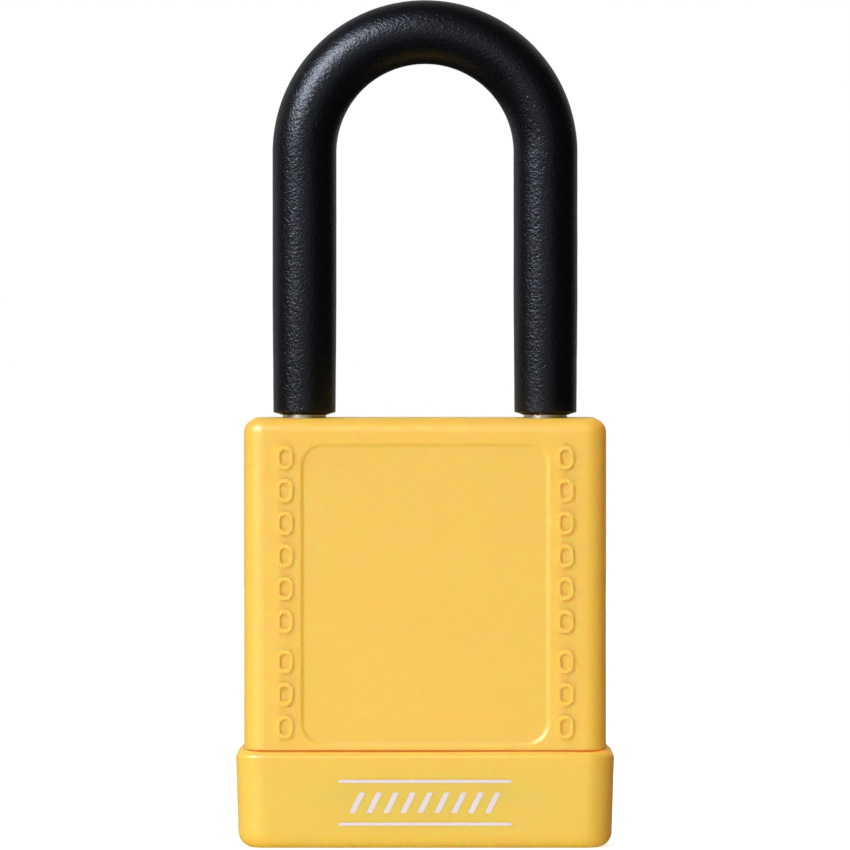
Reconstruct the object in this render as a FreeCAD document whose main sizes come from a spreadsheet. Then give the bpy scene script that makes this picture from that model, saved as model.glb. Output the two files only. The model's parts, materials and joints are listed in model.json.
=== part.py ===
"""Safety padlock: plastic-covered body, sleeved shackle and a six-pin cylinder.

Frame: origin at the centre of the underside, X to the right, Y to the back, Z up. Millimetres.
The plug is stored turned to open, so that the shackle is free to lift.
"""
import FreeCAD, Part
import math
import os

import Sketcher

V = FreeCAD.Vector
PIN_COUNT = 6

# Lengths closer than this count as equal when edges are picked out.
NEAR = 0.01

doc = FreeCAD.newDocument("SafetyPadlock")
sheet = doc.addObject("Spreadsheet::Sheet", "Sizes")

SIZES = [
    # cover
    ("cover_width", 38.8, "yellow cover, side to side"),
    ("cover_depth", 20.0, "yellow cover, front to back"),
    ("cover_top", 45.95, "height of the cover's top"),
    ("cover_wall", 1.4, "side wall of the cover"),
    ("cover_roof", 1.4, "top wall of the cover"),
    ("cover_corner", 2.2, "rounding of the upright corners"),
    ("cover_brow", 1.45, "rounding of the top edge"),
    ("seam_height", 10.54, "lower edge of the cover"),
    ("seam_gap", 0.34, "from that edge down to the ledge inside the cap"),
    ("skirt_step", 0.5, "how far the skirt is set in behind the cap"),
    ("skirt_bottom", 1.8, "lower end of the skirt"),
    ("leg_hole", 2.65, "radius of the two holes for the shackle legs"),
    # sunk panel for a label
    ("panel_width", 26.6, "sunk panel, side to side"),
    ("panel_low", 11.04, "lower edge of the sunk panel"),
    ("panel_high", 43.32, "upper edge of the sunk panel"),
    ("panel_sink", 0.2, "depth of the sunk panel"),
    ("panel_lean", 58.0, "how far its walls lean outward, degrees"),
    ("panel_corner", 2.4, "rounding of its corners"),
    ("panel_rim", 0.45, "rounding of its rim and of the foot of its walls"),
    # raised marks beside the panel
    ("mark_across", 15.0, "from the centre to a column of marks"),
    ("mark_width", 1.75, "one mark, side to side"),
    ("mark_tall", 2.4, "one mark, bottom to top"),
    ("mark_line", 0.36, "width of the raised line"),
    ("mark_clip", 0.5, "how far the corners of a mark are cut"),
    ("mark_inner_clip", 0.29, "the same on the inside of the raised line"),
    ("mark_proud", 0.3, "how far a mark stands out"),
    ("mark_pitch", 3.5, "from one mark to the next"),
    ("mark_top", 41.8, "height of the uppermost mark"),
    ("mark_lower_top", 20.0, "height of the first mark of the lower group"),
    # bottom cap
    ("cap_width", 40.6, "bottom cap, side to side at its top"),
    ("cap_depth", 21.04, "bottom cap, front to back at its top"),
    ("cap_top", 10.6, "height of the bottom cap at its sides"),
    ("cap_floor", 1.6, "floor thickness"),
    ("cap_draft", 1.8, "how the sides lean in towards the bottom, degrees"),
    ("cap_corner", 3.0, "rounding of the upright corners"),
    ("cap_bevel", 0.75, "bevel round the top edge"),
    ("cap_brow", 0.4, "rounding between that bevel and the sides"),
    ("cap_foot", 1.75, "rounding round the bottom edge"),
    ("fit_gap", 0.05, "gap between pieces that fit each other"),
    ("snap_length", 6.0, "snap lug, side to side"),
    ("snap_tall", 0.8, "snap lug, bottom to top"),
    ("snap_height", 5.6, "height of the snap lugs"),
    ("snap_across", 10.0, "from the centre to a snap lug"),
    ("snap_proud", 0.35, "how far a snap lug stands out"),
    # lock body
    ("block_width", 35.8, "lock body, side to side"),
    ("block_depth", 17.0, "lock body, front to back"),
    ("block_top", 44.5, "height of the lock body's top"),
    ("block_corner", 1.2, "rounding of its upright corners"),
    ("block_bevel", 0.3, "bevel round its top edge"),
    # shackle
    ("leg_across", 13.0, "from the centre to each shackle leg"),
    ("bar_radius", 2.35, "steel bar of the shackle"),
    ("bore_radius", 2.45, "bores that the legs slide in"),
    ("arch_height", 74.55, "height of the centre of the shackle's arch"),
    ("heel_end", 10.4, "lower end of the long leg"),
    ("toe_end", 31.5, "lower end of the short leg"),
    ("toe_bevel", 0.7, "bevel on the end of the short leg"),
    ("heel_bore_floor", 3.5, "bottom of the long leg's bore"),
    ("toe_bore_floor", 30.5, "bottom of the short leg's bore"),
    ("sleeve_radius", 3.45, "outside of the plastic sleeve"),
    ("sleeve_bore", 2.37, "inside of the plastic sleeve"),
    ("sleeve_end", 46.3, "lower ends of the sleeve"),
    ("sleeve_bevel", 0.2, "bevel on the sleeve's ends"),
    ("notch_radius", 2.9, "ball notches in the legs"),
    ("heel_flat", 1.2, "depth of the flat along the long leg"),
    ("flat_above", 0.3, "how far that flat runs above the stop pin"),
    ("collar_tall", 2.5, "collar left at the end of the long leg"),
    ("neck_tall", 3.0, "narrow neck above that collar"),
    ("neck_radius", 1.2, "radius of the neck"),
    # locking balls and cam
    ("ball_radius", 2.75, "locking balls"),
    ("ball_bore", 2.8, "cross bore that the balls roll in"),
    ("ball_height", 37.0, "height of the balls"),
    ("ball_in", 7.7, "from the centre to a ball when it is drawn in"),
    ("ball_travel", 1.4, "how far a ball moves out"),
    ("chamber_radius", 6.4, "chamber of the cam"),
    ("chamber_top", 40.2, "top of the cam's chamber"),
    ("cam_long", 6.15, "half length of the cam's lobe"),
    ("cam_short", 4.8, "half width of the cam's lobe"),
    ("cam_base", 6.3, "radius of the cam's base disc"),
    ("cam_neck", 3.4, "radius between disc and lobe"),
    ("cam_low", 28.05, "underside of the cam's base disc"),
    ("cam_disc_tall", 1.6, "thickness of the base disc"),
    ("lobe_low", 34.2, "underside of the lobe"),
    ("lobe_tall", 5.6, "thickness of the lobe"),
    ("tang_width", 8.0, "length of the cam's tang"),
    ("tang_thick", 2.0, "thickness of the cam's tang"),
    ("tang_tall", 1.4, "how far the tang reaches down"),
    # cylinder
    ("housing_radius", 6.5, "round part of the cylinder housing"),
    ("housing_low", 0.5, "face of the cylinder"),
    ("housing_top", 25.5, "inner end of the cylinder housing"),
    ("rib_reach", 11.4, "from the centre to the outside of the pin rib"),
    ("rib_thick", 6.0, "thickness of the pin rib"),
    ("rib_low", 1.7, "lower end of the pin rib"),
    ("plug_bore", 4.35, "bore for the plug"),
    ("plug_radius", 4.3, "plug"),
    ("head_radius", 4.9, "head of the plug"),
    ("head_bore", 4.95, "counterbore for that head"),
    ("head_tall", 1.0, "thickness of the plug's head"),
    ("head_bevel", 0.15, "bevel round the plug's face"),
    ("plug_end", 28.0, "inner end of the plug"),
    ("slot_depth", 1.5, "slot for the cam's tang"),
    ("clip_thick", 0.5, "retaining clip"),
    ("clip_outer", 5.4, "outer radius of the retaining clip"),
    ("clip_inner", 3.8, "inner radius of the retaining clip"),
    ("clip_gap", 5.7, "opening of the retaining clip"),
    ("groove_radius", 3.75, "bottom of the clip's groove"),
    ("first_pin", 5.2, "height of the lowest pin"),
    ("pin_pitch", 3.4, "from one pin to the next"),
    ("pin_radius", 1.2, "pins"),
    ("pin_bore", 1.25, "pin chambers"),
    ("run_out", 0.5, "how far a drilled hole passes the face that it breaks through"),
    ("pin_tip", 0.5, "radius of a key pin's tip"),
    ("pin_tip_tall", 0.7, "length of that taper"),
    ("key_pin_top", 4.12, "from the axis to the flat end of a key pin"),
    ("pin_floor", 0.5, "how far the pin chambers pass the plug's axis"),
    ("driver_rest", 4.32, "from the axis to the inner end of a driver pin"),
    ("driver_long", 2.2, "length of a driver pin"),
    ("driver_rim", 0.6, "length of each full-width end of a driver pin"),
    ("driver_waist", 1.0, "radius between those ends"),
    ("strip_floor", 10.8, "from the axis to the strip over the pin springs"),
    ("strip_thick", 0.55, "strip over the pin springs"),
    ("strip_width", 3.4, "width of that strip"),
    ("strip_low", 3.2, "lower end of that strip"),
    ("strip_high", 24.2, "upper end of that strip"),
    ("spring_wire", 0.125, "wire radius of a pin spring"),
    ("spring_coil", 0.95, "coil radius of a pin spring"),
    ("spring_turns", 6.5, "turns of a pin spring"),
    ("spring_gap", 0.02, "room left at each end of a spring"),
    # keyway, seen with the plug turned to open
    ("key_slot_half", 0.95, "half width of the keyway"),
    ("key_slot_low", 3.55, "from the axis to the foot of the keyway"),
    ("key_slot_high", 2.3, "from the axis to the head of the keyway"),
    ("ward_reach", 0.35, "from the middle of the keyway to a ward"),
    ("ward_tall", 0.8, "thickness of a ward"),
    ("ward_low", 1.1, "from the keyway's foot to the lower ward"),
    ("ward_high", 2.7, "from the keyway's foot to the upper ward"),
    ("key_taper", 1.6, "height of the taper at the keyway's head"),
    ("keyway_end", 25.0, "inner end of the keyway"),
    # small parts
    ("lift_spring_wire", 0.25, "wire radius of the shackle spring"),
    ("lift_spring_coil", 1.9, "coil radius of the shackle spring"),
    ("lift_spring_turns", 10.5, "turns of the shackle spring"),
    ("cross_pin_radius", 1.0, "stop pin and retaining pin"),
    ("cross_pin_long", 17.0, "their length"),
    ("press_gap", 0.01, "radial gap round a pressed pin"),
    ("stop_pin_across", 15.25, "from the centre to the stop pin"),
    ("stop_pin_height", 32.0, "height of the stop pin"),
    ("keeper_across", 6.9, "from the centre to the cylinder's retaining pin"),
    ("keeper_height", 14.0, "height of the cylinder's retaining pin"),
    ("plug_seat", 15.6, "inner end of the plug in the cross bore"),
]

# Each key pin is as long as the key's cut below it is deep.
KEY_PIN_LENGTHS = [2.6, 3.4, 1.9, 3.0, 2.2, 3.7]

for row, (alias, value, meaning) in enumerate(SIZES, start=1):
    sheet.set(f"A{row}", meaning)
    sheet.set(f"B{row}", str(value))
    sheet.setAlias(f"B{row}", alias)

for number, length in enumerate(KEY_PIN_LENGTHS, start=1):
    row = len(SIZES) + number
    sheet.set(f"A{row}", f"length of key pin {number}")
    sheet.set(f"B{row}", str(length))
    sheet.setAlias(f"B{row}", f"key_pin_long_{number}")

doc.recompute()
sub_parts = []


# ---------------------------------------------------------------- sketch and feature helpers

def size(alias):
    """The value in a named cell of the sheet."""
    return float(getattr(sheet, alias))


def s(formula):
    """Turn words that name cells into references to the sheet."""
    words = []
    for word in formula.replace("(", " ( ").replace(")", " ) ").split():
        is_alias = word[0].isalpha()
        words.append("Sizes." + word if is_alias else word)
    return " ".join(words)


def new_body(label):
    """An empty body that becomes one sub-part."""
    body = doc.addObject("PartDesign::Body", label)
    body.Label = label
    sub_parts.append(body)
    return body


def origin_feature(body, role):
    """One of a body's own origin planes or axes."""
    for feature in body.Origin.OriginFeatures:
        if feature.Role == role:
            return feature
    raise ValueError(role)


def new_sketch(body, role, name, offset="0"):
    """A sketch on an origin plane, moved along the plane's normal by a formula."""
    sketch = body.newObject("Sketcher::SketchObject", name)
    sketch.AttachmentSupport = [(origin_feature(body, role), "")]
    sketch.MapMode = "FlatFace"
    sketch.setExpression("AttachmentOffset.Base.z", s(offset))
    return sketch


def dimension(sketch, kind, places, name, formula, start=1.0):
    """A named dimension that follows the sheet, from a value that the sketch can start with."""
    index = sketch.addConstraint(Sketcher.Constraint(kind, *places, start))
    sketch.renameConstraint(index, name)
    sketch.setExpression("Constraints." + name, s(formula))


def locate(sketch, element, end, name, across, up, start=(1.0, 1.0)):
    """Dimension one point of an element from the sketch's origin."""
    dimension(sketch, "DistanceX", (-1, 1, element, end), name + "_across", across, start[0])
    dimension(sketch, "DistanceY", (-1, 1, element, end), name + "_up", up, start[1])


def draw_outline(sketch, corners, name="corner"):
    """A closed run of straight lines through corners given as formulas."""
    count = len(corners)
    first = sketch.GeometryCount
    spots = []
    for index in range(count):
        turn = 2 * math.pi * index / count
        spots.append(V(math.cos(turn), math.sin(turn), 0))
    for index in range(count):
        sketch.addGeometry(Part.LineSegment(spots[index], spots[(index + 1) % count]))
    for index in range(count):
        following = first + (index + 1) % count
        sketch.addConstraint(Sketcher.Constraint("Coincident", first + index, 2, following, 1))
    for index, (across, up) in enumerate(corners):
        locate(sketch, first + index, 1, f"{name}_{index}", across, up)


def draw_rectangle(sketch, left, right, low, high, name="corner"):
    """A rectangle between four formulas."""
    draw_outline(sketch, [(left, low), (right, low), (right, high), (left, high)], name)


def draw_centred(sketch, width, height, name="corner"):
    """A rectangle about the sketch's origin."""
    half_width = f"{width} / 2"
    half_height = f"{height} / 2"
    draw_rectangle(sketch, f"-1 * {half_width}", half_width, f"-1 * {half_height}", half_height, name)


def draw_rounded(sketch, half_width, half_depth, corner, start, centre="0"):
    """A rectangle with round corners about a point above the origin, from values it can start with."""
    wide, deep, radius = start
    quarters = [(1, 1), (-1, 1), (-1, -1), (1, -1)]
    arcs = []
    for index, (side, end) in enumerate(quarters):
        circle = Part.Circle(V(side * (wide - radius), end * (deep - radius), 0), V(0, 0, 1), radius)
        turn = index * math.pi / 2
        arcs.append(sketch.addGeometry(Part.ArcOfCircle(circle, turn, turn + math.pi / 2)))
    for index, arc in enumerate(arcs):
        following = arcs[(index + 1) % 4]
        line = sketch.addGeometry(Part.LineSegment(sketch.getPoint(arc, 2), sketch.getPoint(following, 1)))
        sketch.addConstraint(Sketcher.Constraint("Tangent", arc, 2, line, 1))
        sketch.addConstraint(Sketcher.Constraint("Tangent", line, 2, following, 1))
    for index, (side, end) in enumerate(quarters):
        across = f"{side} * ( {half_width} - {corner} )"
        up = f"{centre} + {end} * ( {half_depth} - {corner} )"
        spot = (side * (wide - radius), end * (deep - radius))
        locate(sketch, arcs[index], 3, f"corner_{index}", across, up, spot)
        dimension(sketch, "Radius", (arcs[index],), f"corner_{index}_radius", corner, radius)


def draw_circle(sketch, name, radius, across="0", up="0"):
    """A circle with a named radius and centre."""
    index = sketch.addGeometry(Part.Circle(V(0, 0, 0), V(0, 0, 1), 1.0))
    locate(sketch, index, 3, name, across, up)
    dimension(sketch, "Radius", (index,), name + "_radius", radius)


def add_pad(body, name, sketch, length, both_ways=False, backwards=False, draft=None):
    """Grow a sketch into the body."""
    feature = body.newObject("PartDesign::Pad", name)
    feature.Profile = sketch
    feature.setExpression("Length", s(length))
    if both_ways:
        feature.SideType = "Symmetric"
    feature.Reversed = backwards
    if draft:
        feature.setExpression("TaperAngle", s(draft))
    doc.recompute()
    return feature


def add_pocket(body, name, sketch, length=None, both_ways=False, backwards=False, draft=None):
    """Cut a sketch out of the body, against the sketch's normal unless it is turned round."""
    before = body.Shape.Volume
    feature = body.newObject("PartDesign::Pocket", name)
    feature.Profile = sketch
    if both_ways:
        feature.SideType = "Symmetric"
    feature.Reversed = backwards
    if length is None:
        feature.Type = "ThroughAll"
    else:
        feature.setExpression("Length", s(length))
    if draft:
        feature.setExpression("TaperAngle", s(draft))
    doc.recompute()
    if not body.Shape.Volume < before - 1e-4:
        raise RuntimeError(f"{name} cuts nothing from {body.Label}")
    return feature


def edge_names(feature, wanted):
    """Names of the edges that a test picks out."""
    return [f"Edge{index}" for index, edge in enumerate(feature.Shape.Edges, start=1) if wanted(edge)]


def along(edge, axis):
    """Whether an edge is a straight line along a unit vector."""
    if edge.Curve.TypeId != "Part::GeomLine":
        return False
    run = edge.valueAt(edge.LastParameter) - edge.valueAt(edge.FirstParameter)
    return abs(abs(run.normalize().dot(axis)) - 1) < 1e-6


def upright(edge):
    """Whether an edge is a straight line along Z."""
    return along(edge, V(0, 0, 1))


def middle(edge):
    """The point halfway along an edge's parameter."""
    return edge.valueAt((edge.FirstParameter + edge.LastParameter) / 2)


def at_height(edge, height):
    """Whether the whole of an edge lies at one height."""
    box = edge.BoundBox
    return abs(box.ZMin - height) < NEAR and abs(box.ZMax - height) < NEAR


def add_fillet(body, name, base, wanted, radius):
    """Round the edges that a test picks out."""
    feature = body.newObject("PartDesign::Fillet", name)
    feature.Base = (base, edge_names(base, wanted))
    feature.setExpression("Radius", s(radius))
    doc.recompute()
    return feature


def add_chamfer(body, name, base, wanted, breadth):
    """Bevel the edges that a test picks out."""
    feature = body.newObject("PartDesign::Chamfer", name)
    feature.Base = (base, edge_names(base, wanted))
    feature.setExpression("Size", s(breadth))
    doc.recompute()
    return feature


def set_place(item, across="0", back="0", up="0", turn=None):
    """Place an item by formulas, after an optional turn (axis, degrees)."""
    if turn:
        item.Placement = FreeCAD.Placement(V(0, 0, 0), FreeCAD.Rotation(*turn))
    item.setExpression("Placement.Base.x", s(across))
    item.setExpression("Placement.Base.y", s(back))
    item.setExpression("Placement.Base.z", s(up))
    return item


def new_cylinder(name, radius, height):
    """A round bar standing on the origin along Z."""
    item = doc.addObject("Part::Cylinder", name)
    item.setExpression("Radius", s(radius))
    item.setExpression("Height", s(height))
    return item


def fuse(label, pieces):
    """One sub-part made by joining simple pieces."""
    joined = doc.addObject("Part::MultiFuse", label)
    joined.Shapes = pieces
    joined.Refine = True
    joined.Label = label
    sub_parts.append(joined)
    return joined


TO_RIGHT = (V(0, 1, 0), 90)
TO_BACK = (V(1, 0, 0), -90)


# ---------------------------------------------------------------- cover and bottom cap

def cut_panel(body, side, offset, backwards):
    """Sink the label panel, with walls that lean outward, into the front or back face."""
    sketch = new_sketch(body, "XZ_Plane", f"PanelOutline{side}", offset)
    half_height = "( panel_high - panel_low ) / 2"
    start = (size("panel_width") / 2, (size("panel_high") - size("panel_low")) / 2, size("panel_corner"))
    centre = "( panel_high + panel_low ) / 2"
    draw_rounded(sketch, "panel_width / 2", half_height, "panel_corner", start, centre)
    draft = "-1 * panel_lean"
    pocket = add_pocket(body, f"Panel{side}", sketch, "panel_sink", backwards=backwards, draft=draft)
    face = -1 if side == "Front" else 1
    outer = size("cover_depth") / 2
    floor = outer - size("panel_sink")
    reach = size("panel_width") / 2 + NEAR
    low = size("panel_low") - NEAR
    high = size("panel_high") + NEAR

    def on_plane(edge, distance):
        box = edge.BoundBox
        flat = abs(box.YMin - face * distance) < NEAR and abs(box.YMax - face * distance) < NEAR
        return flat and box.XMin > -reach and box.XMax < reach and low < middle(edge).z < high

    def panel_edge(edge):
        return on_plane(edge, outer) or on_plane(edge, floor)

    add_fillet(body, f"PanelRim{side}", pocket, panel_edge, "panel_rim")


def add_marks(body, name, top, count):
    """A group of small framed marks in two columns, raised on the front and the back."""
    sketch = new_sketch(body, "XZ_Plane", f"{name}Outline")
    for ring, inset, clip in (("outer", "0", "mark_clip"), ("inner", "mark_line", "mark_inner_clip")):
        left = f"mark_across - mark_width / 2 + {inset}"
        right = f"mark_across + mark_width / 2 - {inset}"
        low = f"{top} - mark_tall / 2 + {inset}"
        high = f"{top} + mark_tall / 2 - {inset}"
        draw_outline(sketch, [
            (f"{left} + {clip}", low), (f"{right} - {clip}", low),
            (right, f"{low} + {clip}"), (right, f"{high} - {clip}"),
            (f"{right} - {clip}", high), (f"{left} + {clip}", high),
            (left, f"{high} - {clip}"), (left, f"{low} + {clip}"),
        ], ring)
    mark = add_pad(body, name, sketch, "cover_depth + 2 * mark_proud", both_ways=True)
    column = body.newObject("PartDesign::LinearPattern", f"{name}Column")
    column.Direction = (origin_feature(body, "Z_Axis"), [""])
    column.Reversed = True
    column.setExpression("Length", s(f"mark_pitch * {count - 1}"))
    column.Occurrences = count
    pair = body.newObject("PartDesign::Mirrored", f"{name}Pair")
    pair.MirrorPlane = (origin_feature(body, "YZ_Plane"), [""])
    group = body.newObject("PartDesign::MultiTransform", f"{name}Group")
    group.Originals = [mark]
    group.Transformations = [column, pair]
    body.Tip = group
    doc.recompute()


def make_skirt(body):
    """Lower part of the cover, set in so that the bottom cap goes round it, with its snap lugs."""
    outline = new_sketch(body, "XY_Plane", "SkirtOutline", "seam_height + cover_wall")
    draw_centred(outline, "( cover_width - 2 * skirt_step )", "( cover_depth - 2 * skirt_step )")
    skirt = add_pad(body, "Skirt", outline, "seam_height + cover_wall - skirt_bottom", backwards=True)
    add_fillet(body, "SkirtCorners", skirt, upright, "cover_corner - skirt_step")
    lugs = new_sketch(body, "XZ_Plane", "LugOutline")
    for side, name in ((-1, "left_lug"), (1, "right_lug")):
        draw_rectangle(
            lugs,
            f"{side} * snap_across - snap_length / 2", f"{side} * snap_across + snap_length / 2",
            "snap_height - snap_tall / 2", "snap_height + snap_tall / 2", name)
    add_pad(body, "SnapLugs", lugs, "cover_depth - 2 * skirt_step + 2 * snap_proud", both_ways=True)


def make_cover():
    """Plastic shell over the lock body, with a skirt that the bottom cap grips."""
    body = new_body("body_cover")
    make_skirt(body)
    outline = new_sketch(body, "XY_Plane", "CoverOutline", "seam_height")
    draw_centred(outline, "cover_width", "cover_depth")
    upper = add_pad(body, "CoverBlock", outline, "cover_top - seam_height")
    edge_of_cover = size("cover_width") / 2 - NEAR

    def cover_corner(edge):
        return upright(edge) and abs(middle(edge).x) > edge_of_cover

    upper = add_fillet(body, "CoverCorners", upper, cover_corner, "cover_corner")
    add_fillet(body, "CoverBrow", upper, lambda edge: at_height(edge, size("cover_top")), "cover_brow")
    cut_panel(body, "Front", "cover_depth / 2", False)
    cut_panel(body, "Back", "-1 * cover_depth / 2", True)
    add_marks(body, "UpperMarks", "mark_top", 6)
    add_marks(body, "LowerMarks", "mark_lower_top", 3)

    cavity = new_sketch(body, "XY_Plane", "CavityOutline", "cover_top - cover_roof")
    draw_centred(cavity, "( cover_width - 2 * cover_wall )", "( cover_depth - 2 * cover_wall )")
    hollow = add_pocket(body, "Cavity", cavity)

    def cavity_corner(edge):
        inside = abs(middle(edge).x) < size("cover_width") / 2 - size("cover_wall") + NEAR
        behind = abs(middle(edge).y) < size("cover_depth") / 2 - size("cover_wall") + NEAR
        return upright(edge) and inside and behind

    add_fillet(body, "CavityCorners", hollow, cavity_corner, "block_corner - fit_gap")
    holes = new_sketch(body, "XY_Plane", "LegHoles", "cover_top")
    draw_circle(holes, "heel", "leg_hole", "-1 * leg_across")
    draw_circle(holes, "toe", "leg_hole", "leg_across")
    add_pocket(body, "LegHolePocket", holes, "2 * cover_roof")


def draw_round_cover(sketch, outward, start_outward):
    """The cover's outline with its round corners, moved outward by a formula."""
    start = [size(alias) * share + start_outward for alias, share in (
        ("cover_width", 0.5), ("cover_depth", 0.5), ("cover_corner", 1))]
    draw_rounded(
        sketch, f"cover_width / 2 + {outward}", f"cover_depth / 2 + {outward}",
        f"( cover_corner + {outward} )", start)


def bevel_cap(body, hollow):
    """Bevel the cap's top edge and round the edge below that bevel."""
    top = size("cap_top")
    margin = size("skirt_step") / 2

    def outer_edge(edge):
        beside = abs(middle(edge).x) > size("cover_width") / 2 - margin
        before = abs(middle(edge).y) > size("cover_depth") / 2 - margin
        return at_height(edge, top) and (beside or before)

    bevelled = add_chamfer(body, "CapBevel", hollow, outer_edge, "cap_bevel")
    bevel_foot = top - size("cap_bevel")

    def below_bevel(edge):
        box = edge.BoundBox
        gap = size("fit_gap")
        return abs(box.ZMin - bevel_foot) < gap and abs(box.ZMax - bevel_foot) < gap

    add_fillet(body, "CapBrow", bevelled, below_bevel, "cap_brow")


def make_cap():
    """Bottom cap: a shallow tray that snaps round the cover's skirt, with a lip round the cover's edge."""
    body = new_body("bottom_cap")
    outline = new_sketch(body, "XY_Plane", "CapOutline", "cap_top")
    draw_centred(outline, "cap_width", "cap_depth")
    tray = add_pad(body, "CapBlock", outline, "cap_top", backwards=True, draft="-1 * cap_draft")

    def leaning_corner(edge):
        box = edge.BoundBox
        return box.ZMin < NEAR and box.ZMax > size("cap_top") - NEAR

    tray = add_fillet(body, "CapCorners", tray, leaning_corner, "cap_corner")
    add_fillet(body, "CapFoot", tray, lambda edge: at_height(edge, 0), "cap_foot")

    inside = new_sketch(body, "XY_Plane", "CapInside", "cap_top")
    draw_round_cover(inside, "fit_gap - skirt_step", size("fit_gap") - size("skirt_step"))
    hollow = add_pocket(body, "CapCavity", inside, "cap_top - cap_floor")
    bevel_cap(body, hollow)
    lip = new_sketch(body, "XY_Plane", "CapLip", "cap_top")
    draw_round_cover(lip, "fit_gap", size("fit_gap"))
    add_pocket(body, "CapLipPocket", lip, "cap_top - seam_height + seam_gap")
    face_hole = new_sketch(body, "XY_Plane", "FaceHole", "cap_floor")
    draw_circle(face_hole, "face", "housing_radius + 2 * fit_gap")
    add_pocket(body, "FaceHolePocket", face_hole)
    seats = new_sketch(body, "XZ_Plane", "LugSeats")
    for side, name in ((-1, "left_seat"), (1, "right_seat")):
        draw_rectangle(
            seats,
            f"{side} * snap_across - snap_length / 2 - fit_gap",
            f"{side} * snap_across + snap_length / 2 + fit_gap",
            "snap_height - snap_tall / 2 - fit_gap", "snap_height + snap_tall / 2 + fit_gap", name)
    reach = "cover_depth - 2 * skirt_step + 2 * snap_proud + 2 * fit_gap"
    add_pocket(body, "LugSeatPocket", seats, reach, both_ways=True)


# ---------------------------------------------------------------- lock body

def make_block():
    """Solid lock body with all its bores."""
    body = new_body("lock_body")
    outline = new_sketch(body, "XY_Plane", "BlockOutline", "cap_floor")
    draw_centred(outline, "block_width", "block_depth")
    block = add_pad(body, "Block", outline, "block_top - cap_floor")
    block = add_fillet(body, "BlockCorners", block, upright, "block_corner")
    add_chamfer(body, "BlockBevel", block, lambda edge: at_height(edge, size("block_top")), "block_bevel")

    heel = new_sketch(body, "XY_Plane", "HeelBore", "block_top")
    draw_circle(heel, "heel", "bore_radius", "-1 * leg_across")
    add_pocket(body, "HeelBorePocket", heel, "block_top - heel_bore_floor")
    toe = new_sketch(body, "XY_Plane", "ToeBore", "block_top")
    draw_circle(toe, "toe", "bore_radius", "leg_across")
    add_pocket(body, "ToeBorePocket", toe, "block_top - toe_bore_floor")

    chamber = new_sketch(body, "XY_Plane", "CamChamber", "chamber_top")
    draw_circle(chamber, "chamber", "chamber_radius")
    add_pocket(body, "CamChamberPocket", chamber, "chamber_top - cap_floor")
    round_bore = new_sketch(body, "XY_Plane", "CylinderBore", "housing_top")
    draw_circle(round_bore, "bore", "housing_radius + fit_gap / 2")
    add_pocket(body, "CylinderBorePocket", round_bore)
    rib = new_sketch(body, "XY_Plane", "RibSlot", "housing_top")
    half = "rib_thick / 2 + fit_gap / 2"
    draw_rectangle(rib, "0", "rib_reach + fit_gap / 2", f"-1 * ( {half} )", half)
    add_pocket(body, "RibSlotPocket", rib)

    cross = new_sketch(body, "YZ_Plane", "CrossBore", "block_width / 2")
    draw_circle(cross, "ball", "ball_bore", "0", "ball_height")
    add_pocket(body, "CrossBorePocket", cross, "block_width / 2 + leg_across")
    pins = new_sketch(body, "XZ_Plane", "PinHoles")
    pin_hole = "cross_pin_radius + press_gap"
    draw_circle(pins, "stop", pin_hole, "-1 * stop_pin_across", "stop_pin_height")
    draw_circle(pins, "keeper", pin_hole, "-1 * keeper_across", "keeper_height")
    add_pocket(body, "PinHolePocket", pins, both_ways=True)


# ---------------------------------------------------------------- shackle

def draw_bow(body, name, left_end, right_end):
    """The path of the bow: a straight leg, a half circle and the other leg."""
    path = new_sketch(body, "XZ_Plane", name)
    across = size("leg_across")
    height = size("arch_height")
    left = path.addGeometry(Part.LineSegment(V(-across, size(left_end), 0), V(-across, height, 0)))
    arch = path.addGeometry(Part.ArcOfCircle(Part.Circle(V(0, height, 0), V(0, 0, 1), across), 0, math.pi))
    right = path.addGeometry(Part.LineSegment(V(across, height, 0), V(across, size(right_end), 0)))
    path.addConstraint(Sketcher.Constraint("Tangent", left, 2, arch, 2))
    path.addConstraint(Sketcher.Constraint("Tangent", right, 1, arch, 1))
    path.addConstraint(Sketcher.Constraint("Vertical", left))
    path.addConstraint(Sketcher.Constraint("Vertical", right))
    locate(path, left, 1, "left_end", "-1 * leg_across", left_end, (-across, size(left_end)))
    locate(path, right, 2, "right_end", "leg_across", right_end, (across, size(right_end)))
    dimension(path, "DistanceY", (-1, 1, arch, 3), "arch_centre", "arch_height", height)
    return path


def sweep_bow(body, name, path, profile):
    """Carry a round profile along the bow."""
    pipe = body.newObject("PartDesign::AdditivePipe", name)
    pipe.Profile = profile
    pipe.Spine = (path, ["Edge1", "Edge2", "Edge3"])
    doc.recompute()
    return pipe


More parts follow.
